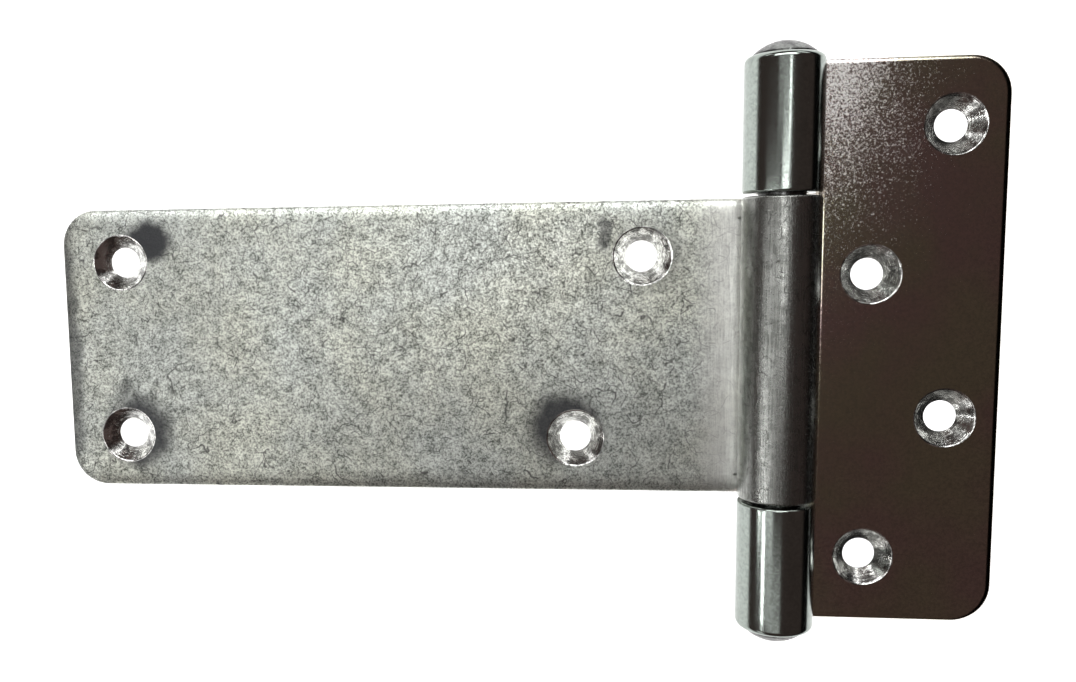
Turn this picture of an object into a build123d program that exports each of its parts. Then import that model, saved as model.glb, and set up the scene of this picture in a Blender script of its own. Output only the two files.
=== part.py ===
from build123d import *
import os
from math import asin, cos, degrees, radians, sin, tan

# T hinge in bright zinc-plated steel: a wide strap leaf that carries the middle knuckle,
# a tall frame leaf that carries the two outer knuckles, and one riveted pin through all three.
#
# Own frame: the hinge lies open and flat on its back. Z is up out of the mounting plane
# (z = 0, the back of both leaves), Y runs along the pin, X points to the frame leaf.
# The origin is on the mounting plane, straight below the middle of the pin axis.

# ---- driving dimensions, millimetres ---------------------------------------------------
plate_thickness = 4.0        # both leaves
pin_diameter = 12.0
running_clearance = 0.05     # radial, between the pin and each knuckle bore

frame_height = 150.0         # frame leaf, along the pin
frame_reach = 58.0           # frame leaf, pin axis to outer edge
strap_width = 80.0           # strap leaf, along the pin
strap_reach = 200.0          # strap leaf, pin axis to far end
strap_offset = -0.3          # the strap's centre line is cut a little below the knuckle's
corner_radius = 10.0         # the four outer corners

middle_knuckle_length = 79.4
knuckle_gap = 0.8            # end play at each end of the middle knuckle
seam_gap = 0.8               # slit between the end of each curl and its own leaf
notch_clearance = 0.8        # frame leaf edge to the middle knuckle

strap_edge_round = 1.4       # rolled-over front edge of the strap leaf
frame_edge_round = 0.8       # front edge of the frame leaf
back_edge_break = 0.25       # sheared back edges
outer_rim_round = 1.6        # free ends of the outer knuckles
inner_rim_round = 0.7        # knuckle ends that face each other
curl_lip_round = 0.4         # free lip of each curl

head_diameter = 16.0         # domed rivet heads of the pin
head_height = 3.8
head_land = 0.5              # short straight wall under each dome

screw_hole_diameter = 8.5    # for M8 countersunk screws
countersink_diameter = 15.5
countersink_angle = 90.0

frame_outer_column = 44.5    # screw hole columns of the frame leaf, from the pin axis
frame_inner_column = 24.5
frame_row_pitch = 38.4       # the four rows step down from column to column
strap_row_offset = 25.0      # strap hole rows, either side of the strap's centre line
strap_far_column = 182.5     # two far holes of the strap, from the pin axis
strap_near_upper = 35.0      # upper near hole
strap_near_lower = 53.0      # lower near hole, staggered from the upper one

# ---- sizes that follow -----------------------------------------------------------------
bore_radius = pin_diameter / 2 + running_clearance
knuckle_radius = bore_radius + plate_thickness
axis_height = knuckle_radius
lip_angle = degrees(asin((bore_radius - seam_gap) / knuckle_radius))   # lip below the axis
outer_knuckle_start = middle_knuckle_length / 2 + knuckle_gap
outer_knuckle_end = frame_height / 2
notch_edge = knuckle_radius + notch_clearance

frame_screw_holes = [
    (frame_outer_column, 1.5 * frame_row_pitch),
    (frame_inner_column, 0.5 * frame_row_pitch),
    (frame_outer_column, -0.5 * frame_row_pitch),
    (frame_inner_column, -1.5 * frame_row_pitch),
]
strap_screw_holes = [
    (-strap_far_column, strap_offset + strap_row_offset),
    (-strap_far_column, strap_offset - strap_row_offset),
    (-strap_near_upper, strap_offset + strap_row_offset),
    (-strap_near_lower, strap_offset - strap_row_offset),
]


def curl(side, low, high, low_round, high_round):
    """A knuckle rolled from its leaf's own plate, from straight below the pin to its lip.

    side is +1 when the leaf lies towards +X and -1 when it lies towards -X. The plate turns
    up round the far side of the pin and over the top, and stops just above the leaf.
    """

    def on_circle(radius, angle):
        # angle 0 is straight below the pin, growing away from the leaf and over the top
        turn = radians(angle)
        return (-side * radius * sin(turn), axis_height - radius * cos(turn))

    last = 270.0 + lip_angle
    middle = last / 2
    outer_arc = [on_circle(knuckle_radius, a) for a in (0.0, middle, last)]
    inner_arc = [on_circle(bore_radius, a) for a in (last, middle, 0.0)]
    with BuildPart() as rolled:
        with BuildSketch(Plane.XZ.offset(-high)):
            with BuildLine():
                ThreePointArc(*outer_arc)
                Line(outer_arc[2], inner_arc[0])
                ThreePointArc(*inner_arc)
                Line(inner_arc[2], outer_arc[0])
            make_face()
        extrude(amount=high - low)
        for end, rim_round in ((0, low_round), (-1, high_round)):
            rims = rolled.edges().filter_by(GeomType.CIRCLE)
            rims = rims.filter_by(lambda edge: abs(edge.radius - knuckle_radius) < 0.001)
            fillet(rims.sort_by(Axis.Y)[end], rim_round)
        lip = rolled.edges().filter_by(Axis.Y)
        lip = lip.sort_by_distance((outer_arc[2][0], (low + high) / 2, outer_arc[2][1]))[0]
        fillet(lip, curl_lip_round)
    return rolled.part


def screw_hole(x, y):
    """The material removed for one countersunk screw, entering from the front face."""
    hole_radius = screw_hole_diameter / 2
    sink_radius = countersink_diameter / 2
    slope = tan(radians(countersink_angle / 2))
    sink_depth = (sink_radius - hole_radius) / slope
    over = 1.0
    drill = Cylinder(hole_radius, plate_thickness + 2 * over)
    drill = Pos(x, y, plate_thickness / 2) * drill
    sink = Cone(hole_radius, sink_radius + over * slope, sink_depth + over)
    sink = Pos(x, y, plate_thickness + over - (sink_depth + over) / 2) * sink
    return drill + sink


def plate(side, reach, width, offset, edge_round):
    """A flat leaf from below the pin out to its rounded outer corners, front edges eased."""
    with BuildPart() as leaf:
        with BuildSketch():
            with Locations((side * reach / 2, offset)):
                Rectangle(reach, width)
            corners = vertices().sort_by(Axis.X)
            fillet(corners[-2:] if side > 0 else corners[:2], corner_radius)
        extrude(amount=plate_thickness)
        for height, ease, size in ((-1, fillet, edge_round), (0, chamfer, back_edge_break)):
            below_pin = leaf.edges().filter_by_position(Axis.X, -0.01, 0.01)
            ease(leaf.faces().sort_by(Axis.Z)[height].edges() - below_pin, size)
    return leaf.part


def make_strap_leaf():
    """The wide strap with the middle knuckle rolled from its own end."""
    half = middle_knuckle_length / 2
    leaf = plate(-1, strap_reach, strap_width, strap_offset, strap_edge_round)
    leaf += curl(-1, -half, half, inner_rim_round, inner_rim_round)
    for x, y in strap_screw_holes:
        leaf -= screw_hole(x, y)
    return leaf


def make_frame_leaf():
    """The tall leaf with two outer knuckles and a clear notch between them."""
    leaf = plate(1, frame_reach, frame_height, 0.0, frame_edge_round)
    leaf += curl(1, outer_knuckle_start, outer_knuckle_end, inner_rim_round, outer_rim_round)
    leaf += curl(1, -outer_knuckle_end, -outer_knuckle_start, outer_rim_round, inner_rim_round)
    notch = Box(2 * notch_edge, 2 * outer_knuckle_start, 2 * plate_thickness)
    leaf -= notch
    for x, y in frame_screw_holes:
        leaf -= screw_hole(x, y)
    return leaf


def make_hinge_pin():
    """One steel rivet through all three knuckles, with a dome formed at each end."""
    face = outer_knuckle_end
    shank = pin_diameter / 2
    rim = head_diameter / 2
    dome_rise = head_height - head_land
    dome_radius = (rim ** 2 + dome_rise ** 2) / (2 * dome_rise)
    half_turn = asin(rim / dome_radius) / 2
    crown = face + head_height
    halfway = (dome_radius * sin(half_turn), crown - dome_radius * (1 - cos(half_turn)))
    with BuildPart() as pin:
        with BuildSketch(Plane.XY):
            with BuildLine():
                Line((0.0, 0.0), (shank, 0.0))
                Line((shank, 0.0), (shank, face))
                Line((shank, face), (rim, face))
                Line((rim, face), (rim, face + head_land))
                ThreePointArc((rim, face + head_land), halfway, (0.0, crown))
                Line((0.0, crown), (0.0, 0.0))
            make_face()
        revolve(axis=Axis.Y)
        mirror(about=Plane.XZ)
    return Pos(0, 0, axis_height) * pin.part


os.makedirs("parts", exist_ok=True)
export_step(make_strap_leaf(), "parts/strap_leaf.step")
export_step(make_frame_leaf(), "parts/frame_leaf.step")
export_step(make_hinge_pin(), "parts/hinge_pin.step")
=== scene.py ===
"""T hinge in bright zinc plate, lying open and flat on a pale studio floor.

Every length is in metres and every place is in the hinge's own frame: X runs from the pin to the
frame leaf, Y runs along the pin, and Z rises from the back of both leaves.
"""

from __future__ import annotations

import logging
import math
from collections.abc import Callable, Iterable
from dataclasses import dataclass
from enum import Enum

import bmesh
import bpy
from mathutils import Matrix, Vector

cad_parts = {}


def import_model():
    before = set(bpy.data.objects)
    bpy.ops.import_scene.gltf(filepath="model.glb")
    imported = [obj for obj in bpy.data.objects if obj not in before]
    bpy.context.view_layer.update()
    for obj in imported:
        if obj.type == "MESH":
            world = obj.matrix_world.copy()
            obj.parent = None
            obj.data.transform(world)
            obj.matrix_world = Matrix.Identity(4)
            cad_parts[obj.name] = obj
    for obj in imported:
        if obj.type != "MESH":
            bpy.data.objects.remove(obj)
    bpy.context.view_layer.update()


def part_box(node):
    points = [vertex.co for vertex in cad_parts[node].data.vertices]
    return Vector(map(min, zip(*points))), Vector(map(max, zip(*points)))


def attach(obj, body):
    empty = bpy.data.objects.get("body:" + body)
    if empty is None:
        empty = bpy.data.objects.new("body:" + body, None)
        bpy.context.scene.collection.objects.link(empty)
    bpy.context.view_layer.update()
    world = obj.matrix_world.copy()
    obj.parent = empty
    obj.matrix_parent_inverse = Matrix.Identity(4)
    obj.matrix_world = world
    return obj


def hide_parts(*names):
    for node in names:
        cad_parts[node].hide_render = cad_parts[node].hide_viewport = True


MM = 0.001
CLOSE = 0.02 * MM
LOG = logging.getLogger("t_hinge")

Colour = tuple[float, float, float]
Socket = bpy.types.NodeSocket
Object = bpy.types.Object


class Side(Enum):
    """The side of the pin that a leaf lies on."""

    STRAP = -1
    FRAME = 1


# ---- the workbench: short ways to model with the edit-mode tools ------------------------------


def clear_selection() -> None:
    """Leave edit mode and deselect every object."""
    if bpy.context.mode != "OBJECT":
        bpy.ops.object.mode_set(mode="OBJECT")
    bpy.ops.object.select_all(action="DESELECT")


def pick(piece: Object) -> None:
    """Make one object the only selected and the active one."""
    clear_selection()
    piece.select_set(True)
    bpy.context.view_layer.objects.active = piece


def add_block(name: str, low: Vector, high: Vector) -> Object:
    """Add a block between two corners, with its place in its mesh.

    Args:
        name: The object's name.
        low: The corner with the lowest coordinates.
        high: The opposite corner.

    Returns:
        The new block, selected and active.
    """
    clear_selection()
    bpy.ops.mesh.primitive_cube_add(size=1.0, location=(low + high) / 2, scale=high - low)
    return keep_place(name)


def add_rod(name: str, radius: float, low: float, high: float, sides: int) -> Object:
    """Add a round rod along Z between two heights, centred on the origin.

    Args:
        name: The object's name.
        radius: The rod's radius.
        low: The height of its lower end.
        high: The height of its upper end.
        sides: How many flats make its round wall.

    Returns:
        The new rod, selected and active.
    """
    clear_selection()
    bpy.ops.mesh.primitive_cylinder_add(
        vertices=sides, radius=radius, depth=high - low, location=(0.0, 0.0, (low + high) / 2)
    )
    return keep_place(name)


def keep_place(name: str) -> Object:
    """Name the active object and move its place, turn and size into its mesh."""
    piece = bpy.context.object
    piece.name = name
    piece.data.name = name
    bpy.ops.object.transform_apply(location=True, rotation=True, scale=True)
    return piece


def select_faces(test: Callable[[bmesh.types.BMFace], bool]) -> None:
    """Select only the faces of the mesh in edit mode that pass a test."""
    bpy.ops.mesh.select_mode(type="FACE")
    bpy.ops.mesh.select_all(action="DESELECT")
    data = bpy.context.edit_object.data
    mesh = bmesh.from_edit_mesh(data)
    for face in mesh.faces:
        face.select_set(test(face))
    bmesh.update_edit_mesh(data)


def select_edges(test: Callable[[bmesh.types.BMEdge], bool]) -> None:
    """Select only the edges of the mesh in edit mode that pass a test."""
    bpy.ops.mesh.select_mode(type="EDGE")
    bpy.ops.mesh.select_all(action="DESELECT")
    data = bpy.context.edit_object.data
    mesh = bmesh.from_edit_mesh(data)
    for edge in mesh.edges:
        edge.select_set(test(edge))
    bmesh.update_edit_mesh(data)


def select_vertices(test: Callable[[Vector], bool]) -> None:
    """Select only the vertices of the mesh in edit mode whose places pass a test."""
    bpy.ops.mesh.select_mode(type="VERT")
    bpy.ops.mesh.select_all(action="DESELECT")
    data = bpy.context.edit_object.data
    mesh = bmesh.from_edit_mesh(data)
    for vertex in mesh.verts:
        vertex.select_set(test(vertex.co))
    mesh.select_flush_mode()
    bmesh.update_edit_mesh(data)


def cut_across(axis: int, places: Iterable[float]) -> None:
    """Cut the whole mesh in edit mode across one axis at each of some places.

    Args:
        axis: 0, 1 or 2 for X, Y or Z.
        places: Where each cut crosses that axis.
    """
    normal = Vector((0.0, 0.0, 0.0))
    normal[axis] = 1.0
    for place in places:
        bpy.ops.mesh.select_all(action="SELECT")
        bpy.ops.mesh.bisect(plane_co=normal * place, plane_no=normal)


def use_modifier(piece: Object, kind: str, **settings: object) -> None:
    """Add one modifier to a piece, set it up and apply it.

    Args:
        piece: The mesh object.
        kind: The modifier's type.
        settings: The modifier's own settings by name.
    """
    pick(piece)
    modifier = piece.modifiers.new(kind.lower(), kind)
    for name, value in settings.items():
        setattr(modifier, name, value)
    bpy.ops.object.modifier_apply(modifier=modifier.name)


def even_steps(low: float, high: float, step: float) -> list[float]:
    """The places that split a length into even parts of about one step, ends left out."""
    count = max(1, round((high - low) / step))
    return [low + (high - low) * k / count for k in range(1, count)]


def finish_surface(piece: Object, sharp_angle: float) -> None:
    """Close up doubles, turn the normals out and smooth the shading up to an angle."""
    pick(piece)
    bpy.ops.object.mode_set(mode="EDIT")
    bpy.ops.mesh.select_all(action="SELECT")
    bpy.ops.mesh.remove_doubles(threshold=0.001 * MM)
    bpy.ops.mesh.normals_make_consistent(inside=False)
    bpy.ops.object.mode_set(mode="OBJECT")
    bpy.ops.object.shade_smooth_by_angle(angle=math.radians(sharp_angle))
    use_modifier(piece, "WEIGHTED_NORMAL", keep_sharp=True, weight=60)


# ---- finishes ---------------------------------------------------------------------------------

# heights above the back of the plate: where its front face, the curl and the curl's top begin
FRONT_START = 2.0 * MM
FRONT_FULL = 3.6 * MM
CURL_START = 4.3 * MM
CURL_FULL = 5.5 * MM
CURL_SIDE = 8.0 * MM
CURL_TOP = 15.0 * MM

# what shows where the plating is scratched or stained, and the painted highlight, painted shade and painted
# sparkle
SCRATCH_DARK: Colour = (0.1, 0.1, 0.095)
BEND_PAINTED_HIGHLIGHT: Colour = (1.0, 1.0, 0.97)
CURL_PAINTED_SHADE: Colour = (0.12, 0.125, 0.115)
STAIN_AND_SHADE_DARK: Colour = (0.06, 0.062, 0.066)
SPARKLE_PAINTED_LIGHT: Colour = (0.97, 0.97, 0.95)


class ShaderBench:
    """One material's node tree, with short ways to add nodes and join them."""

    def __init__(self, name: str) -> None:
        """Start a material that holds one metal shader and the object's own coordinates."""
        self.material = bpy.data.materials.new(name)
        self.material.use_nodes = True
        self.tree = self.material.node_tree
        self.tree.nodes.clear()
        output = self.tree.nodes.new("ShaderNodeOutputMaterial")
        self.shader = self.tree.nodes.new("ShaderNodeBsdfPrincipled")
        self.tree.links.new(self.shader.outputs["BSDF"], output.inputs["Surface"])
        self.place = self.tree.nodes.new("ShaderNodeTexCoord").outputs["Object"]
        split = self.node("ShaderNodeSeparateXYZ", {0: self.place})
        self.x, self.y, self.z = split.outputs

    def node(self, kind: str, inputs: dict, **settings: object) -> bpy.types.Node:
        """Add a node.

        Args:
            kind: The node's type.
            inputs: What each input holds, a socket to join to it or a plain value.
            settings: The node's own settings by name.

        Returns:
            The new node.
        """
        node = self.tree.nodes.new(kind)
        for name, value in settings.items():
            setattr(node, name, value)
        for name, value in inputs.items():
            self.put(node.inputs[name], value)
        return node

    def put(self, target: Socket, value: object) -> None:
        """Join a socket to an input, or set the input to a plain value."""
        if isinstance(value, bpy.types.NodeSocket):
            self.tree.links.new(value, target)
        else:
            target.default_value = value

    def math(self, operation: str, *values: object) -> Socket:
        """Work out one sum on up to three values, each a socket or a plain number."""
        return self.node("ShaderNodeMath", dict(enumerate(values)), operation=operation).outputs[0]

    def fade(self, value: Socket, low: float, high: float, start: float, end: float) -> Socket:
        """Read a value smoothly from one range into another, and hold it at the ends.

        Args:
            value: What is read.
            low: The value that gives start.
            high: The value that gives end.
            start: The result at low.
            end: The result at high.

        Returns:
            The result's socket.
        """
        ends = {"Value": value, "From Min": low, "From Max": high, "To Min": start, "To Max": end}
        if low > high:
            ends.update({"From Min": high, "From Max": low, "To Min": end, "To Max": start})
        return self.node("ShaderNodeMapRange", ends, interpolation_type="SMOOTHSTEP").outputs[0]

    def stretched(self, scale: Colour) -> Socket:
        """The object's coordinates, scaled along each axis."""
        inputs = {"Vector": self.place, "Scale": scale}
        return self.node("ShaderNodeMapping", inputs, vector_type="POINT").outputs[0]

    def noise(self, size: float, detail: float, rough: float, place: Socket | None = None) -> Socket:
        """Soft random values between 0 and 1.

        Args:
            size: The width of the largest patches.
            detail: How many finer layers are added.
            rough: How strong each finer layer is.
            place: The coordinates to read, or the object's own.

        Returns:
            The value's socket.
        """
        inputs = {"Vector": place or self.place, "Scale": 1.0 / size, "Detail": detail, "Roughness": rough}
        return self.node("ShaderNodeTexNoise", inputs, noise_dimensions="3D").outputs["Fac"]

    def wander(self, size: float, reach: float, place: Socket | None = None) -> Socket:
        """The object's coordinates pushed about at random, so that what reads them bends.

        Args:
            size: The width of the largest bends.
            reach: How far a point moves at most.
            place: The coordinates to bend, or the object's own.

        Returns:
            The bent coordinates' socket.
        """
        start = place or self.place
        inputs = {"Vector": start, "Scale": 1.0 / size, "Detail": 2.0}
        push = self.node("ShaderNodeTexNoise", inputs).outputs["Color"]
        centred = self.node("ShaderNodeVectorMath", {0: push, 1: (0.5, 0.5, 0.5)}, operation="SUBTRACT")
        scaled = {0: centred.outputs[0], "Scale": 2.0 * reach}
        moved = self.node("ShaderNodeVectorMath", scaled, operation="SCALE")
        added = {0: start, 1: moved.outputs[0]}
        return self.node("ShaderNodeVectorMath", added, operation="ADD").outputs[0]

    def cracks(self, size: float, width: float, place: Socket) -> Socket:
        """Thin lines between random cells, 1 on a line and 0 away from it.

        Args:
            size: The width of a cell.
            width: The half width of a line.
            place: The coordinates to read.

        Returns:
            The lines' socket.
        """
        inputs = {"Vector": place, "Scale": 1.0 / size}
        cells = self.node("ShaderNodeTexVoronoi", inputs, feature="DISTANCE_TO_EDGE")
        return self.fade(cells.outputs["Distance"], width / size, 0.0, 0.0, 1.0)

    def blend(self, factor: Socket, first: object, second: object, kind: str = "MIX") -> Socket:
        """Mix two colours.

        Args:
            factor: How much of the second colour shows, 0 to 1.
            first: The first colour, a socket or four numbers.
            second: The second colour, a socket or four numbers.
            kind: How they are mixed.

        Returns:
            The mixed colour's socket.
        """
        node = self.node("ShaderNodeMix", {}, data_type="RGBA", blend_type=kind)
        self.put(node.inputs[0], factor)
        self.put(node.inputs[6], first)
        self.put(node.inputs[7], second)
        return node.outputs[2]

    def bump(self, height: Socket, depth: float, before: Socket | None = None) -> Socket:
        """A surface normal that follows a height from 0 to 1 with a real depth."""
        inputs = {"Height": height, "Distance": depth, "Strength": 1.0}
        if before is not None:
            inputs["Normal"] = before
        return self.node("ShaderNodeBump", inputs).outputs["Normal"]


def opaque(colour: Colour) -> tuple[float, float, float, float]:
    """A colour with full alpha."""
    return (*colour, 1.0)


@dataclass(frozen=True)
class StainAndPaintedLightPatch:
    """A soft oval patch: a darker stain that the bath or a screw has left in the plating, a darker patch of
    painted shade, or a lighter patch of painted sparkle.
    """

    x: float
    y: float
    half_width: float
    half_height: float
    depth: float

    def distance(self, bench: ShaderBench, place: Socket) -> Socket:
        """How far each point is from the mark's middle, where 1 is the mark's own outline.

        Args:
            bench: The material's bench.
            place: The coordinates to read.

        Returns:
            The distance's socket.
        """
        centre = (-self.x / self.half_width, -self.y / self.half_height, 0.0)
        scale = (1.0 / self.half_width, 1.0 / self.half_height, 0.0)
        inputs = {"Vector": place, "Location": centre, "Scale": scale}
        around = bench.node("ShaderNodeMapping", inputs)
        return bench.node("ShaderNodeVectorMath", {0: around.outputs[0]}, operation="LENGTH").outputs["Value"]


@dataclass(frozen=True)
class ZincPlate:
    """Bright zinc on rolled steel: a crystalline mottle, soft blotches, scratches and stains, and painted
    shade, highlight and sparkle.

    The grain is random on the flat and is drawn out into streaks where the plate bends at the pin.
    """

    name: str
    light: Colour
    dark: Colour
    cool_tint: Colour
    warm_tint: Colour
    smooth: float
    rough: float
    mottle_size: float
    mottle_depth: float
    scratch_strength: float
    streaks: float
    bend_zone: float
    # how strongly the front face beside the pin is lightened: a painted highlight
    bend_painted_highlight: float
    # how strongly the curl darkens towards its top: painted shade
    curl_painted_shade: float
    curl_calm: float
    curl_rough: float
    # the curl's tint, which on the frame leaf is partly painted shade
    curl_tint_and_shade: Colour = (1.0, 1.0, 1.0)
    # real stains, and broad patches of painted shade
    stains_and_painted_shade: tuple[StainAndPaintedLightPatch, ...] = ()
    # where the painted sparkle crowds
    painted_sparkle: StainAndPaintedLightPatch | None = None
    cloud_size: float = 2.6 * MM
    blotch_size: float = 32.0 * MM
    streak_size: float = 0.5 * MM
    sparkle_size: float = 0.55 * MM
    scratch_depth: float = 0.02 * MM
    sparkle_rough: float = 0.24

    def in_front(self, bench: ShaderBench) -> Socket:
        """1 at the plate's front face and above, and 0 towards its back."""
        return bench.fade(bench.z, FRONT_START, FRONT_FULL, 0.0, 1.0)

    def painted_sparkle_specks(self, bench: ShaderBench, patch: StainAndPaintedLightPatch) -> Socket:
        """Painted sparkle: bright dull specks that crowd together in one patch and thin out round it.

        Args:
            bench: The material's bench.
            patch: Where the specks are thickest.

        Returns:
            The specks' socket, 1 on a speck and 0 between them.
        """
        away = patch.distance(bench, bench.wander(14.0 * MM, 5.0 * MM))
        specks = bench.noise(self.sparkle_size, 5.0, 0.8, bench.wander(1.0 * MM, 0.5 * MM))
        kept = bench.math("MULTIPLY_ADD", away, -0.17, specks)
        on_plate = bench.fade(bench.z, CURL_START, CURL_FULL, 1.0, 0.0)
        crowd = bench.fade(kept, 0.36, 0.54, 0.0, patch.depth)
        return bench.math("MULTIPLY", crowd, bench.math("MULTIPLY", on_plate, self.in_front(bench)))

    def stain_and_painted_shade(self, bench: ShaderBench) -> Socket:
        """How strongly the stains and the patches of painted shade darken each point, 0 away from all of
        them.
        """
        ragged = bench.wander(6.0 * MM, 2.5 * MM)
        total = 0.0
        for darkening in self.stains_and_painted_shade:
            mark = bench.fade(darkening.distance(bench, ragged), 1.15, 0.55, 0.0, darkening.depth)
            total = bench.math("ADD", total, mark)
        return total

    def grain(self, bench: ShaderBench, near_pin: Socket, on_curl: Socket) -> Socket:
        """The fine mottle of the flat, which turns into streaks near the pin.

        Args:
            bench: The material's bench.
            near_pin: 1 beside the pin and 0 away from it.
            on_curl: 1 on the curl and 0 on the plate.

        Returns:
            The grain's socket, 0 in its dark hollows and 1 on its light crests.
        """
        bent = bench.wander(self.mottle_size, 0.5 * self.mottle_size)
        fine = bench.fade(bench.noise(self.mottle_size, 6.0, 0.76, bent), 0.42, 0.56, 0.0, 1.0)
        drawn = bench.noise(self.streak_size, 4.0, 0.7, bench.stretched((1.0, 0.045, 1.0)))
        drawn = bench.fade(drawn, 0.35, 0.65, 0.0, 1.0)
        streaky = bench.math("MULTIPLY", near_pin, self.streaks)
        grain = bench.math("MULTIPLY_ADD", streaky, bench.math("SUBTRACT", drawn, fine), fine)
        calm = bench.math("SUBTRACT", 1.0, bench.math("MULTIPLY", on_curl, self.curl_calm))
        return bench.math("MULTIPLY_ADD", bench.math("SUBTRACT", grain, 0.5), calm, 0.5)

    def scratches(self, bench: ShaderBench) -> Socket:
        """Short curved scratches all over, and longer ones here and there."""
        short = bench.cracks(6.0 * MM, 0.16 * MM, bench.wander(7.0 * MM, 3.0 * MM))
        broken = bench.fade(bench.noise(3.2 * MM, 2.0, 0.5), 0.50, 0.58, 0.0, 1.0)
        short = bench.math("MULTIPLY", short, broken)
        long = bench.cracks(19.0 * MM, 0.15 * MM, bench.wander(15.0 * MM, 9.0 * MM))
        sparse = bench.fade(bench.noise(9.0 * MM, 2.0, 0.5), 0.5, 0.57, 0.0, 1.0)
        lines = bench.math("MAXIMUM", short, bench.math("MULTIPLY", long, sparse))
        return bench.math("MULTIPLY", lines, self.scratch_strength)

    def make(self) -> bpy.types.Material:
        """Build the finish.

        Returns:
            The finished material.
        """
        bench = ShaderBench(self.name)
        beside_pin = bench.math("ABSOLUTE", bench.x)
        near_pin = bench.fade(beside_pin, self.bend_zone, 0.45 * self.bend_zone, 0.0, 1.0)
        on_curl = bench.fade(bench.z, CURL_START, CURL_FULL, 0.0, 1.0)
        grain = self.grain(bench, near_pin, on_curl)
        cloud = bench.fade(bench.noise(self.cloud_size, 4.0, 0.6), 0.32, 0.66, 0.0, 1.0)
        blotch = bench.fade(bench.noise(self.blotch_size, 3.0, 0.55), 0.35, 0.68, 0.0, 1.0)
        scratch = self.scratches(bench)

        shade = bench.math("MULTIPLY_ADD", cloud, 0.33, bench.math("MULTIPLY", grain, 0.67))
        colour = bench.blend(shade, opaque(self.dark), opaque(self.light))
        tinted = bench.blend(blotch, opaque(self.cool_tint), opaque(self.warm_tint))
        # the curl's tint; on the frame leaf it is darkened, partly as painted shade
        tinted = bench.blend(on_curl, tinted, opaque(self.curl_tint_and_shade))
        colour = bench.blend(1.0, colour, tinted, "MULTIPLY")
        colour = bench.blend(scratch, colour, opaque(SCRATCH_DARK))
        # painted highlight: the front face beside the pin is lightened as if it reflected a bright light
        painted_bend_highlight = bench.math("MULTIPLY", near_pin, bench.math("SUBTRACT", self.in_front(bench), on_curl))
        colour = bench.blend(bench.math("MULTIPLY", painted_bend_highlight, self.bend_painted_highlight), colour, opaque(BEND_PAINTED_HIGHLIGHT))
        # painted shade: the curl darkens towards its top
        painted_curl_shade = bench.fade(bench.z, CURL_SIDE, CURL_TOP, 0.0, self.curl_painted_shade)
        colour = bench.blend(painted_curl_shade, colour, opaque(CURL_PAINTED_SHADE))
        # real stains, and broad patches of painted shade
        if self.stains_and_painted_shade:
            colour = bench.blend(self.stain_and_painted_shade(bench), colour, opaque(STAIN_AND_SHADE_DARK))

        uneven = bench.math("MULTIPLY_ADD", cloud, 0.3, bench.math("MULTIPLY", grain, 0.7))
        roughness = bench.fade(uneven, 0.0, 1.0, self.rough, self.smooth)
        roughness = bench.math("MULTIPLY_ADD", on_curl, self.curl_rough, roughness)
        # painted sparkle: bright dull specks in one patch, standing in for glints
        if self.painted_sparkle:
            painted_sparkle = self.painted_sparkle_specks(bench, self.painted_sparkle)
            colour = bench.blend(painted_sparkle, colour, opaque(SPARKLE_PAINTED_LIGHT))
            roughness = bench.math("MULTIPLY_ADD", painted_sparkle, self.sparkle_rough, roughness)
        bench.put(bench.shader.inputs["Base Color"], colour)
        bench.put(bench.shader.inputs["Roughness"], roughness)
        normal = bench.bump(grain, self.mottle_depth)
        bench.put(bench.shader.inputs["Normal"], bench.bump(scratch, -self.scratch_depth, normal))
        bench.shader.inputs["Metallic"].default_value = 1.0
        return bench.material


@dataclass(frozen=True)
class MachinedZinc:
    """Thin bright zinc over a turned face: fine rings from the tool and little else."""

    name: str
    light: Colour
    dark: Colour
    smooth: float
    rough: float
    speck_size: float = 0.9 * MM
    patch_size: float = 3.4 * MM
    ring_size: float = 0.35 * MM
    ring_depth: float = 0.02 * MM

    def make(self) -> bpy.types.Material:
        """Build the finish.

        Returns:
            The finished material.
        """
        bench = ShaderBench(self.name)
        speck = bench.fade(bench.noise(self.speck_size, 4.0, 0.7), 0.35, 0.65, 0.0, 1.0)
        patch = bench.fade(bench.noise(self.patch_size, 3.0, 0.6), 0.42, 0.58, 0.0, 1.0)
        level = bench.stretched((0.15, 0.15, 1.0))
        rings = bench.fade(bench.noise(self.ring_size, 3.0, 0.6, level), 0.35, 0.65, 0.0, 1.0)
        shade = bench.math("MULTIPLY_ADD", patch, 0.7, bench.math("MULTIPLY", speck, 0.3))
        colour = bench.blend(shade, opaque(self.dark), opaque(self.light))
        bench.put(bench.shader.inputs["Base Color"], colour)
        bench.put(bench.shader.inputs["Roughness"], bench.fade(speck, 0.0, 1.0, self.rough, self.smooth))
        bench.put(bench.shader.inputs["Normal"], bench.bump(rings, self.ring_depth))
        bench.shader.inputs["Metallic"].default_value = 1.0
        return bench.material


# ---- the hinge --------------------------------------------------------------------------------


@dataclass
class Joint:
    """The pin and the knuckles rolled round it."""

    pin_radius: float = 6.0 * MM
    clearance: float = 0.05 * MM
    plate: float = 4.0 * MM
    seam_gap: float = 0.8 * MM
    middle_length: float = 79.4 * MM
    end_play: float = 0.8 * MM
    turn_step: float = 5.0

    @property
    def bore(self) -> float:
        """The radius of the hole through each knuckle."""
        return self.pin_radius + self.clearance

    @property
    def outside(self) -> float:
        """The outer radius of each knuckle, which is also the height of the pin's axis."""
        return self.bore + self.plate

    @property
    def axis(self) -> Vector:
        """A point on the pin's axis, halfway along it."""
        return Vector((0.0, 0.0, self.outside))

    @property
    def sweep(self) -> float:
        """How far the plate turns about the pin, in degrees, before it ends in its lip."""
        return 270.0 + math.degrees(math.asin((self.bore - self.seam_gap) / self.outside))

    @property
    def outer_start(self) -> float:
        """Where each outer knuckle starts, from the middle of the pin."""
        return self.middle_length / 2 + self.end_play


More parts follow.
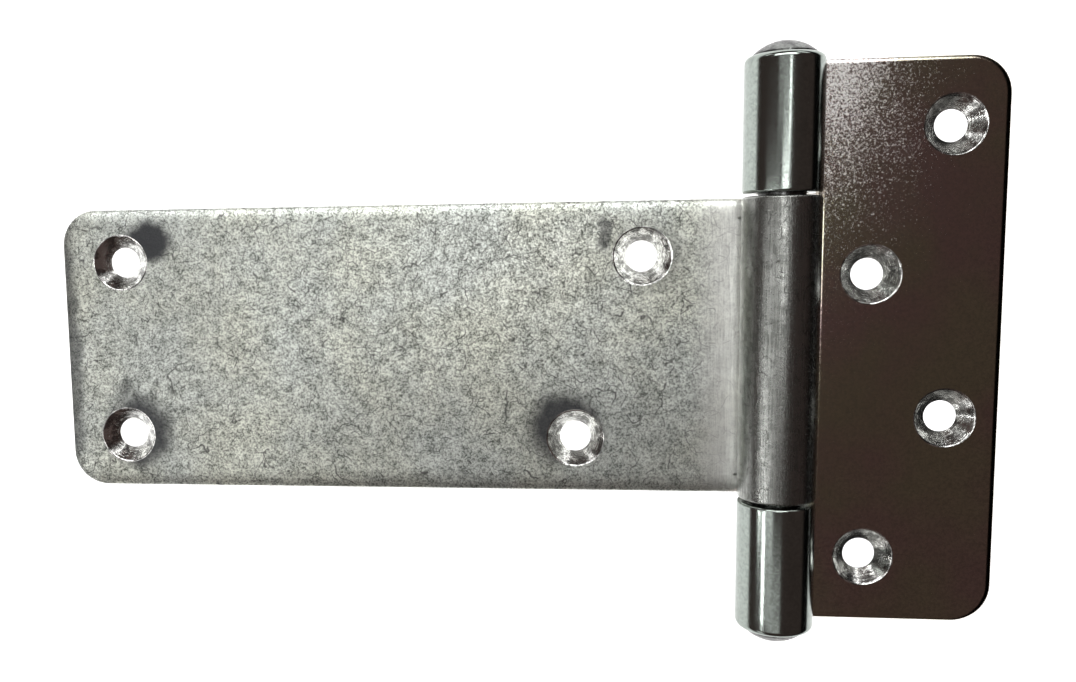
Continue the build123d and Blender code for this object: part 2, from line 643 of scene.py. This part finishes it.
@dataclass
class ScrewHole:
    """One countersunk screw hole, and the tool that cuts it."""

    x: float
    y: float
    radius: float = 4.25 * MM
    sink_radius: float = 7.75 * MM
    rim_round: float = 0.7 * MM
    back_break: float = 0.2 * MM
    cone_slope: float = 45.0
    overshoot: float = 1.0 * MM
    step_out: float = 0.1 * MM
    step_up: float = 0.01 * MM
    sides: int = 96
    rim_steps: int = 4

    def profile(self, plate: float) -> list[tuple[float, float]]:
        """The tool's outline as radius and height, from below the plate to above it.

        Args:
            plate: The thickness of the plate.

        Returns:
            The outline's points, from the lowest to the highest.
        """
        floor = plate - (self.sink_radius - self.radius) * math.tan(math.radians(self.cone_slope))
        flare = self.back_break
        points = [(self.radius + flare, -flare), (self.radius, flare), (self.radius, floor)]
        reach = self.rim_round * math.tan(math.radians(self.cone_slope / 2))
        for step in range(self.rim_steps + 1):
            turn = math.radians(self.cone_slope * (1.0 - step / self.rim_steps))
            out = self.sink_radius + reach - self.rim_round * math.sin(turn)
            points.append((out, plate - self.rim_round * (1.0 - math.cos(turn))))
        points.append((points[-1][0] + self.step_out, plate + self.step_up))
        points.append((points[-1][0], plate + self.overshoot))
        return points

    def cut(self, leaf: Object, plate: float, finish: bpy.types.Material) -> None:
        """Cut the hole through a leaf.

        Args:
            leaf: The leaf to cut.
            plate: The thickness of the leaf's plate.
            finish: What the cut faces are dressed in.
        """
        outline = self.profile(plate)
        tool = add_rod("screw_tool", outline[0][0], -self.overshoot, outline[0][1], self.sides)
        bpy.ops.object.mode_set(mode="EDIT")
        select_faces(lambda face: face.normal.z > 0.9)
        for (inner, low), (outer, high) in zip(outline, outline[1:]):
            bpy.ops.mesh.extrude_region_move(TRANSFORM_OT_translate={"value": (0.0, 0.0, high - low)})
            grow = outer / inner
            bpy.ops.transform.resize(value=(grow, grow, 1.0), center_override=(0.0, 0.0, high))
        bpy.ops.mesh.select_all(action="SELECT")
        bpy.ops.transform.translate(value=(self.x, self.y, 0.0))
        bpy.ops.mesh.normals_make_consistent(inside=False)
        bpy.ops.object.mode_set(mode="OBJECT")
        tool.data.materials.append(finish)
        use_modifier(leaf, "BOOLEAN", object=tool, operation="DIFFERENCE", solver="EXACT",
                     material_mode="TRANSFER")
        bpy.data.objects.remove(tool)


@dataclass
class Leaf:
    """One leaf: a flat plate with its front edges rolled over, and a curl round the pin."""

    side: Side
    joint: Joint
    reach: float
    low: float
    high: float
    corner: float
    roll_width: float
    roll_depth: float
    holes: tuple[ScrewHole, ...]
    grid: float = 5.0 * MM
    back_break: float = 0.25 * MM
    lip_round: float = 0.4 * MM
    inner_rim: float = 0.7 * MM
    crease: float = 40.0
    ripple: float = 0.10 * MM
    ripple_size: float = 28.0 * MM
    edge_calm: float = 6.0 * MM
    pin_calm: float = 12.0 * MM
    sharp_angle: float = 32.0
    corner_steps: int = 12
    roll_steps: int = 7
    rim_steps: int = 4

    @property
    def far_end(self) -> float:
        """Where the leaf ends, away from the pin."""
        return self.side.value * self.reach

    def on_knuckle(self, point: Vector) -> bool:
        """Whether a point lies on the outside of a knuckle."""
        away = math.hypot(point.x, point.z - self.joint.outside)
        return abs(away - self.joint.outside) < 0.05 * MM

    def rolled_plate(self, name: str, start: float) -> Object:
        """The plate with rounded far corners, still thick, before its edges are rolled over.

        The plate is drawn out along Z, so that a plain round on its front edges becomes a wide,
        shallow one when roll_front presses it back to its real thickness.

        Args:
            name: The piece's name.
            start: Where the plate's near end is, along X.

        Returns:
            The plate, in edit mode.
        """
        thick = self.joint.plate * self.roll_width / self.roll_depth
        near = Vector((start, self.low, 0.0))
        far = Vector((self.far_end, self.high, thick))
        low = Vector(map(min, near, far))
        high = Vector(map(max, near, far))
        plate = add_block(name, low, high)
        bpy.ops.object.mode_set(mode="EDIT")
        select_edges(lambda edge: all(abs(v.co.x - self.far_end) < CLOSE for v in edge.verts)
                     and abs(edge.verts[0].co.z - edge.verts[1].co.z) > CLOSE)
        bpy.ops.mesh.bevel(offset=self.corner, segments=self.corner_steps, profile=0.5, affect="EDGES")
        return plate

    def roll_front(self) -> None:
        """Round the front edges of the thick plate and press it to its real thickness."""
        def is_front_edge(edge: bmesh.types.BMEdge) -> bool:
            faces = edge.link_faces
            if len(faces) != 2 or all(abs(v.co.x) < CLOSE for v in edge.verts):
                return False
            return max(f.normal.z for f in faces) > 0.9 and min(abs(f.normal.z) for f in faces) < 0.1

        select_edges(is_front_edge)
        bpy.ops.mesh.bevel(offset=self.roll_width, segments=self.roll_steps, profile=0.5, affect="EDGES")
        press = self.roll_depth / self.roll_width
        bpy.ops.mesh.select_all(action="SELECT")
        bpy.ops.transform.resize(value=(1.0, 1.0, press), center_override=(0.0, 0.0, 0.0))

    def curl(self) -> None:
        """Turn the plate's end at the pin up round it, over the top and down to its lip."""
        end = self.side.value
        select_faces(lambda face: all(abs(v.co.x) < CLOSE for v in face.verts) and abs(face.normal.x) > 0.9)
        bpy.ops.mesh.spin(
            steps=round(self.joint.sweep / self.joint.turn_step),
            angle=math.radians(self.joint.sweep),
            center=self.joint.axis,
            axis=(0.0, -float(end), 0.0),
        )
        bpy.ops.mesh.select_all(action="SELECT")
        bpy.ops.mesh.normals_make_consistent(inside=False)

    def ease_edges(self, leaf: Object, rims: dict[float, float]) -> None:
        """Round the knuckles' rims and the lip, and break the sheared back edges.

        Args:
            leaf: The leaf, in object mode.
            rims: How round the knuckle rim at each place along the pin is.
        """
        widest = max(rims.values())
        weights = leaf.data.attributes.new("bevel_weight_edge", "FLOAT", "EDGE")
        mesh = bmesh.new()
        mesh.from_mesh(leaf.data)
        mesh.edges.ensure_lookup_table()
        for edge in mesh.edges:
            weights.data[edge.index].value = self.edge_round(edge, rims) / widest
        mesh.free()
        use_modifier(leaf, "BEVEL", limit_method="WEIGHT", width=widest, segments=self.rim_steps, profile=0.5,
                     use_clamp_overlap=False, miter_outer="MITER_ARC", loop_slide=True)

    def edge_round(self, edge: bmesh.types.BMEdge, rims: dict[float, float]) -> float:
        """How round one edge of the finished leaf is.

        Args:
            edge: The edge.
            rims: How round the knuckle rim at each place along the pin is.

        Returns:
            The edge's radius, or 0 where it stays as it is.
        """
        if len(edge.link_faces) != 2 or edge.calc_face_angle(0.0) < math.radians(self.crease):
            return 0.0
        first, second = (vertex.co for vertex in edge.verts)
        if self.on_knuckle(first) and self.on_knuckle(second) and max(first.z, second.z) > CLOSE:
            if abs(first.y - second.y) > CLOSE:
                return self.lip_round
            nearest = min(rims, key=lambda place: abs(place - first.y))
            return rims[nearest] if abs(nearest - first.y) < 0.1 * MM else 0.0
        if max(first.z, second.z) < CLOSE:
            return self.back_break
        return 0.0

    def ripple_front(self, leaf: Object) -> None:
        """Give the front face the faint waves that shearing and curling leave in a plate."""
        front = leaf.vertex_groups.new(name="front")
        plate = self.joint.plate
        for vertex in leaf.data.vertices:
            place = vertex.co
            inward = min(place.y - self.low, self.high - place.y, abs(self.far_end - place.x))
            clear = abs(place.x) - 1.1 * self.joint.outside
            if abs(place.z - plate) < CLOSE and inward > 0.0 and clear > 0.0:
                weight = min(1.0, inward / self.edge_calm) * min(1.0, clear / self.pin_calm)
                front.add([vertex.index], weight, "REPLACE")
        waves = bpy.data.textures.new(leaf.name + "_waves", "CLOUDS")
        waves.noise_scale = self.ripple_size
        waves.noise_depth = 2
        use_modifier(leaf, "DISPLACE", texture=waves, texture_coords="LOCAL", direction="Z",
                     strength=self.ripple, mid_level=0.5, vertex_group="front")

    def dress(self, leaf: Object, plating: bpy.types.Material, machined: bpy.types.Material) -> Object:
        """Plate the leaf, cut its screw holes, ripple its front and smooth its shading.

        Args:
            leaf: The leaf, in object mode.
            plating: The finish of the plate and its knuckles.
            machined: The finish of the screw holes.

        Returns:
            The finished piece.
        """
        leaf.data.materials.append(plating)
        for hole in self.holes:
            hole.cut(leaf, self.joint.plate, machined)
        self.ripple_front(leaf)
        finish_surface(leaf, self.sharp_angle)
        return leaf


@dataclass
class StrapLeaf(Leaf):
    """The wide strap with the middle knuckle rolled from its own end."""

    def build(self, plating: bpy.types.Material, machined: bpy.types.Material) -> Object:
        """Model and dress the strap.

        Args:
            plating: The finish of the plate and the knuckle.
            machined: The finish of the screw holes.

        Returns:
            The finished piece.
        """
        half = self.joint.middle_length / 2
        leaf = self.rolled_plate("strap_and_knuckle", 0.0)
        cut_across(0, even_steps(self.far_end, 0.0, self.grid))
        cut_across(1, even_steps(self.low, self.high, self.grid))
        self.roll_front()
        select_vertices(lambda place: abs(place.x) < CLOSE and place.y < -half + CLOSE)
        bpy.ops.transform.translate(value=(0.0, -half - self.low, 0.0))
        self.curl()
        bpy.ops.object.mode_set(mode="OBJECT")
        self.ease_edges(leaf, {-half: self.inner_rim, half: self.inner_rim})
        return self.dress(leaf, plating, machined)


@dataclass
class FrameLeaf(Leaf):
    """The tall leaf with the two outer knuckles and a clear notch between them."""

    ripple_size: float = 22.0 * MM
    notch_gap: float = 0.8 * MM
    outer_rim: float = 1.6 * MM

    def build(self, plating: bpy.types.Material, machined: bpy.types.Material) -> Object:
        """Model and dress the frame leaf.

        Args:
            plating: The finish of the plate and the knuckles.
            machined: The finish of the screw holes.

        Returns:
            The finished piece.
        """
        start = self.joint.outer_start
        edge = self.joint.outside + self.notch_gap
        leaf = self.rolled_plate("frame_plate_and_knuckles", edge)
        cut_across(1, (-start, start))
        for tab in (-1.0, 1.0):
            select_faces(lambda face: all(abs(v.co.x - edge) < CLOSE for v in face.verts)
                         and tab * face.calc_center_median().y > start)
            bpy.ops.mesh.extrude_region_move(TRANSFORM_OT_translate={"value": (-edge, 0.0, 0.0)})
        cut_across(0, even_steps(0.0, edge, self.grid) + [edge] + even_steps(edge, self.far_end, self.grid))
        cut_across(1, even_steps(self.low, -start, self.grid) + even_steps(-start, start, self.grid)
                   + even_steps(start, self.high, self.grid))
        self.roll_front()
        self.curl()
        bpy.ops.object.mode_set(mode="OBJECT")
        rims = {-start: self.inner_rim, start: self.inner_rim}
        rims.update({self.low: self.outer_rim, self.high: self.outer_rim})
        self.ease_edges(leaf, rims)
        return self.dress(leaf, plating, machined)


@dataclass
class Rivet:
    """The steel pin, with a dome peened over at each end."""

    joint: Joint
    half_length: float
    rim: float = 8.0 * MM
    land: float = 0.5 * MM
    rise: float = 3.3 * MM
    sides: int = 96
    dome_steps: int = 12
    grid: float = 5.0 * MM
    peen_depth: float = 0.12 * MM
    peen_size: float = 3.0 * MM
    peen_fade: float = 0.8 * MM
    sharp_angle: float = 40.0

    def dome(self) -> list[tuple[float, float]]:
        """The dome's outline as radius and distance from the middle of the pin."""
        ball = (self.rim ** 2 + self.rise ** 2) / (2 * self.rise)
        widest = math.asin(self.rim / ball)
        crown = self.half_length + self.land + self.rise
        points = []
        for step in range(self.dome_steps):
            turn = widest * (1.0 - step / self.dome_steps)
            points.append((ball * math.sin(turn), crown - ball * (1.0 - math.cos(turn))))
        return points

    def build(self, finish: bpy.types.Material) -> Object:
        """Model and dress the rivet.

        Args:
            finish: The finish of the whole rivet.

        Returns:
            The finished piece.
        """
        pin = add_rod("riveted_pin", self.joint.pin_radius, -self.half_length, self.half_length, self.sides)
        bpy.ops.object.mode_set(mode="EDIT")
        for end in (-1.0, 1.0):
            select_faces(lambda face: end * face.normal.z > 0.9 and end * face.calc_center_median().z > 0.0)
            radius = self.joint.pin_radius
            height = self.half_length
            for outer, far in [(self.rim, self.half_length), *self.dome()]:
                onward = (0.0, 0.0, end * (far - height))
                bpy.ops.mesh.extrude_region_move(TRANSFORM_OT_translate={"value": onward})
                grow = outer / radius
                bpy.ops.transform.resize(value=(grow, grow, 1.0), center_override=(0.0, 0.0, end * far))
                radius = outer
                height = far
            bpy.ops.mesh.inset(thickness=0.3 * radius, depth=0.0)
            bpy.ops.mesh.poke()
        cut_across(2, even_steps(-self.half_length, self.half_length, self.grid))
        bpy.ops.mesh.select_all(action="SELECT")
        bpy.ops.transform.rotate(value=math.radians(90.0), orient_axis="X", center_override=(0.0, 0.0, 0.0))
        bpy.ops.transform.translate(value=self.joint.axis)
        bpy.ops.object.mode_set(mode="OBJECT")
        self.peen(pin)
        pin.data.materials.append(finish)
        finish_surface(pin, self.sharp_angle)
        return pin

    def peen(self, pin: Object) -> None:
        """Leave shallow hammer marks on both domes."""
        domes = pin.vertex_groups.new(name="domes")
        for vertex in pin.data.vertices:
            beyond = abs(vertex.co.y) - self.half_length - self.land
            if beyond > 0.0:
                domes.add([vertex.index], min(1.0, beyond / self.peen_fade), "REPLACE")
        marks = bpy.data.textures.new("hammer_marks", "CLOUDS")
        marks.noise_scale = self.peen_size
        marks.noise_depth = 1
        use_modifier(pin, "DISPLACE", texture=marks, texture_coords="LOCAL", direction="NORMAL",
                     strength=self.peen_depth, mid_level=0.7, vertex_group="domes")


# ---- the studio -------------------------------------------------------------------------------


@dataclass(frozen=True)
class Lamp:
    """A soft rectangular lamp high above the hinge.

    Its place and size are given as slopes, that is metres sideways for each metre up.
    """

    name: str
    slope_x: float
    slope_y: float
    wide: float
    tall: float
    brightness: float

    def hang(self, height: float) -> None:
        """Hang the lamp so that it faces straight down.

        Args:
            height: How high it hangs above the floor.
        """
        data = bpy.data.lights.new(self.name, "AREA")
        data.shape = "RECTANGLE"
        data.size = self.wide * height
        data.size_y = self.tall * height
        data.energy = self.brightness * math.pi * data.size * data.size_y
        lamp = bpy.data.objects.new(self.name, data)
        bpy.context.scene.collection.objects.link(lamp)
        lamp.location = (self.slope_x * height, self.slope_y * height, height)
        lamp.visible_camera = False


@dataclass
class Studio:
    """A pale round floor and wall, a dim room that the metal reflects, and soft lamps."""

    floor_radius: float = 12.0
    floor_level: float = -260.0 * MM
    wall_height: float = 12.0
    floor_glow: float = 0.85
    wall_glow: float = 0.9
    flag_place: float = 75.0 * MM
    flag_height: float = 35.0 * MM
    flag_length: float = 1.0
    flag_thickness: float = 2.0 * MM
    ground_low: tuple[float, float, float] = (12.0 * MM, -73.0 * MM, -0.4 * MM)
    ground_high: tuple[float, float, float] = (56.0 * MM, 73.0 * MM, -0.3 * MM)
    lamp_height: float = 3.0
    room: Colour = (0.066, 0.047, 0.043)
    lamps: tuple[Lamp, ...] = (
        Lamp("left_softbox", -0.95, -0.14, 1.20, 0.40, 1.25),
        Lamp("middle_softbox", -0.07, 0.02, 0.30, 0.15, 4.6),
        Lamp("corner_softbox", 0.10, 0.20, 0.045, 0.20, 9.0),
        Lamp("upper_fill", -0.25, 0.24, 0.50, 0.20, 0.5),
        Lamp("lower_fill", -0.32, -0.46, 0.86, 0.24, 0.65),
        Lamp("back_softbox", -0.20, 1.00, 1.40, 0.80, 5.0),
        Lamp("far_right_softbox", 1.60, 2.50, 1.40, 1.40, 3.0),
        Lamp("far_left_softbox", -2.70, 2.80, 1.40, 1.40, 3.0),
        Lamp("near_left_softbox", -1.70, -2.40, 1.20, 1.20, 3.0),
        Lamp("lower_strip", -1.02, -0.47, 0.20, 0.26, 11.0),
        Lamp("low_window", -1.70, -0.45, 0.36, 0.14, 14.0),
    )

    def build(self) -> None:
        """Make the floor, the wall, the flag, the shaded ground, the room and the lamps."""
        self.floor()
        self.wall()
        self.flag()
        self.shaded_ground()
        self.dark_room()
        for lamp in self.lamps:
            lamp.hang(self.lamp_height)

    def floor(self) -> None:
        """The round floor, far enough below the hinge for the strap leaf to swing down."""
        clear_selection()
        bpy.ops.mesh.primitive_circle_add(
            vertices=128, radius=self.floor_radius, fill_type="NGON", location=(0.0, 0.0, self.floor_level)
        )
        floor = keep_place("studio_floor")
        floor.data.materials.append(self.paint("studio_floor_paint", 0.8, self.floor_glow))

    def wall(self) -> None:
        """The pale wall round the floor, which the hinge doesn't reflect."""
        clear_selection()
        bpy.ops.mesh.primitive_cylinder_add(
            vertices=128, radius=self.floor_radius, depth=self.wall_height, end_fill_type="NOTHING",
            location=(0.0, 0.0, self.floor_level + self.wall_height / 2),
        )
        wall = keep_place("studio_wall")
        wall.data.materials.append(self.paint("studio_wall_paint", 0.0, self.wall_glow))
        wall.visible_glossy = False
        wall.visible_diffuse = False
        wall.visible_shadow = False

    def flag(self) -> None:
        """A black board beside the frame leaf that keeps the pale floor out of its reflections."""
        low = Vector((self.flag_place, -self.flag_length / 2, 0.0))
        high = Vector((self.flag_place + self.flag_thickness, self.flag_length / 2, self.flag_height))
        board = add_block("black_flag", low, high)
        board.data.materials.append(self.paint("black_flag_paint", 0.0, 0.0))
        board.visible_camera = False
        board.visible_diffuse = False
        board.visible_shadow = False

    def shaded_ground(self) -> None:
        """The ground right under the frame leaf, unlit, which only the metal reflects."""
        ground = add_block("shaded_ground", Vector(self.ground_low), Vector(self.ground_high))
        ground.data.materials.append(self.paint("shaded_ground_paint", 0.02, 0.0))
        ground.visible_camera = False
        ground.visible_diffuse = False
        ground.visible_shadow = False

    def paint(self, name: str, shade: float, glow: float) -> bpy.types.Material:
        """A matt paint that may give a little light of its own."""
        paint = bpy.data.materials.new(name)
        paint.use_nodes = True
        shader = paint.node_tree.nodes["Principled BSDF"]
        shader.inputs["Base Color"].default_value = (shade, shade, shade, 1.0)
        shader.inputs["Roughness"].default_value = 0.9
        shader.inputs["Specular IOR Level"].default_value = 0.0
        shader.inputs["Emission Color"].default_value = (1.0, 1.0, 1.0, 1.0)
        shader.inputs["Emission Strength"].default_value = glow
        return paint

    def dark_room(self) -> None:
        """The dim, slightly warm room that shows in the polished metal."""
        world = bpy.data.worlds.new("studio_room")
        world.use_nodes = True
        background = world.node_tree.nodes["Background"]
        background.inputs["Color"].default_value = opaque(self.room)
        background.inputs["Strength"].default_value = 1.0
        bpy.context.scene.world = world


@dataclass(frozen=True)
class Viewpoint:
    """The camera, which looks down on the open hinge from above the strap."""

    place: tuple[float, float, float] = (-56.02 * MM, 27.53 * MM, 268.31 * MM)
    turn: tuple[float, float, float] = (-6.139, 6.149, -0.799)
    lens: float = 32.124
    sensor: float = 36.0
    shift: tuple[float, float] = (0.0725, 0.0084)
    nearest: float = 0.01

    def aim(self) -> None:
        """Make the camera and look through it."""
        data = bpy.data.cameras.new("camera")
        data.sensor_width = self.sensor
        data.lens = self.lens
        data.shift_x, data.shift_y = self.shift
        data.clip_start = self.nearest
        camera = bpy.data.objects.new("camera", data)
        bpy.context.scene.collection.objects.link(camera)
        camera.location = self.place
        camera.rotation_euler = tuple(math.radians(turn) for turn in self.turn)
        bpy.context.scene.camera = camera
        bpy.context.scene.view_settings.view_transform = "Standard"


# ---- sizes and colours of this hinge ----------------------------------------------------------

CORNER = 10.0 * MM


def strap_plating(holes: tuple[ScrewHole, ...]) -> ZincPlate:
    """The dull, mottled plating of the strap, stained round its screw holes."""
    upper_far, lower_far, upper_near, lower_near = holes
    return ZincPlate(
        name="strap_zinc",
        light=(0.97, 0.99, 0.95),
        dark=(0.13, 0.14, 0.125),
        cool_tint=(0.93, 0.96, 0.94),
        warm_tint=(0.99, 1.0, 0.92),
        smooth=0.32,
        rough=0.44,
        mottle_size=0.6 * MM,
        mottle_depth=0.02 * MM,
        scratch_strength=0.9,
        streaks=0.7,
        bend_zone=24.0 * MM,
        bend_painted_highlight=0.5,
        curl_painted_shade=0.68,
        curl_calm=0.3,
        curl_rough=-0.12,
        stains_and_painted_shade=(
            StainAndPaintedLightPatch(upper_far.x + 8.5 * MM, upper_far.y + 6.0 * MM, 8.0 * MM, 7.0 * MM, 0.85),
            StainAndPaintedLightPatch(lower_far.x + 3.0 * MM, lower_far.y + 1.0 * MM, 11.0 * MM, 12.0 * MM, 0.8),
            StainAndPaintedLightPatch(lower_near.x - 3.0 * MM, lower_near.y + 3.0 * MM, 11.5 * MM, 11.0 * MM, 0.8),
            StainAndPaintedLightPatch(upper_near.x - 10.0 * MM, upper_near.y + 6.0 * MM, 1.8 * MM, 5.0 * MM, 0.65),
            StainAndPaintedLightPatch(upper_near.x + 2.0 * MM, upper_near.y, 12.0 * MM, 10.5 * MM, 0.35),
            # broad darkening towards the lower right, partly painted shade and partly tarnish
            StainAndPaintedLightPatch(lower_near.x - 18.0 * MM, lower_near.y - 4.0 * MM, 75.0 * MM, 24.0 * MM, 0.16),
            StainAndPaintedLightPatch(-200.0 * MM, 0.0, 5.0 * MM, 46.0 * MM, 0.6),
            # a broad darkening towards the left end
            StainAndPaintedLightPatch(-185.0 * MM, 0.0, 42.0 * MM, 60.0 * MM, 0.14),
            StainAndPaintedLightPatch(upper_far.x - 1.0 * MM, lower_far.y + 14.0 * MM, 2.5 * MM, 3.5 * MM, 0.4),
        ),
    )


def frame_plating() -> ZincPlate:
    """The brighter, darker-looking plating of the frame leaf, its darker base colour partly painted shade."""
    return ZincPlate(
        name="frame_zinc",
        # darker and browner than the strap's plating, partly as painted shade
        light=(0.66, 0.64, 0.61),
        dark=(0.46, 0.44, 0.42),
        cool_tint=(1.0, 0.80, 0.79),
        warm_tint=(0.93, 0.96, 0.72),
        smooth=0.09,
        rough=0.15,
        mottle_size=1.0 * MM,
        mottle_depth=0.003 * MM,
        scratch_strength=0.12,
        streaks=0.0,
        bend_zone=11.0 * MM,
        bend_painted_highlight=0.0,
        curl_painted_shade=0.0,
        curl_calm=0.2,
        curl_rough=0.03,
        # the knuckles' cooler tint, darkened partly as painted shade
        curl_tint_and_shade=(0.56, 0.65, 0.63),
        # the patch of painted sparkle near the upper end beside the knuckles
        painted_sparkle=StainAndPaintedLightPatch(15.0 * MM, 72.0 * MM, 24.0 * MM, 44.0 * MM, 1.0),
    )


def machined_zinc() -> MachinedZinc:
    """The bright turned faces of the screw holes."""
    return MachinedZinc("machined_zinc", (0.93, 0.94, 0.91), (0.20, 0.20, 0.19), 0.10, 0.22)


def pin_zinc() -> MachinedZinc:
    """The dull, dark finish of the riveted pin."""
    return MachinedZinc("pin_zinc", (0.22, 0.23, 0.22), (0.08, 0.08, 0.08), 0.2, 0.4)


@dataclass(frozen=True)
class HolePattern:
    """Where the screw holes are, measured from the pin and from the middle of each leaf."""

    strap_middle: float = -0.3 * MM
    strap_row: float = 25.0 * MM
    strap_far: float = 182.5 * MM
    strap_near_upper: float = 35.0 * MM
    strap_near_lower: float = 53.0 * MM
    frame_columns: tuple[float, float] = (44.5 * MM, 24.5 * MM)
    frame_pitch: float = 38.4 * MM

    def strap(self) -> tuple[ScrewHole, ...]:
        """The strap's four holes: the two far ones, then the two near ones, upper ones first."""
        upper = self.strap_middle + self.strap_row
        lower = self.strap_middle - self.strap_row
        return (
            ScrewHole(-self.strap_far, upper),
            ScrewHole(-self.strap_far, lower),
            ScrewHole(-self.strap_near_upper, upper),
            ScrewHole(-self.strap_near_lower, lower),
        )

    def frame(self) -> tuple[ScrewHole, ...]:
        """The frame leaf's four holes from the top down, by turns in its two columns."""
        return tuple(
            ScrewHole(self.frame_columns[k % 2], (1.5 - k) * self.frame_pitch) for k in range(4)
        )


def main() -> None:
    """Load the frame, model and dress the hinge on it, and set the studio."""
    logging.basicConfig(level=logging.INFO, format="%(name)s: %(message)s")
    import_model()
    joint = Joint()
    strap_low, strap_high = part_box("strap_leaf")
    frame_low, frame_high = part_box("frame_leaf")

    pattern = HolePattern()
    strap = StrapLeaf(
        side=Side.STRAP, joint=joint, reach=-strap_low[0], low=strap_low[1], high=strap_high[1],
        corner=CORNER, roll_width=5.5 * MM, roll_depth=1.4 * MM, holes=pattern.strap(),
    )
    frame = FrameLeaf(
        side=Side.FRAME, joint=joint, reach=frame_high[0], low=frame_low[1], high=frame_high[1],
        corner=CORNER, roll_width=1.6 * MM, roll_depth=0.6 * MM, holes=pattern.frame(),
    )
    rivet = Rivet(joint=joint, half_length=frame_high[1])

    machined = machined_zinc().make()
    pieces = (
        (strap.build(strap_plating(strap.holes).make(), machined), "strap", "strap_leaf", "strap_zinc"),
        (frame.build(frame_plating().make(), machined), "frame", "frame_leaf", "frame_zinc"),
        (rivet.build(pin_zinc().make()), "frame", "hinge_pin", "pin_zinc"),
    )
    for piece, body, node, slot in pieces:
        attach(piece, body)
        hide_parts(node)
        LOG.info("%s rides on %s with %d faces", piece.name, body, len(piece.data.polygons))

    Studio().build()
    Viewpoint().aim()


if __name__ == "__main__":
    main()
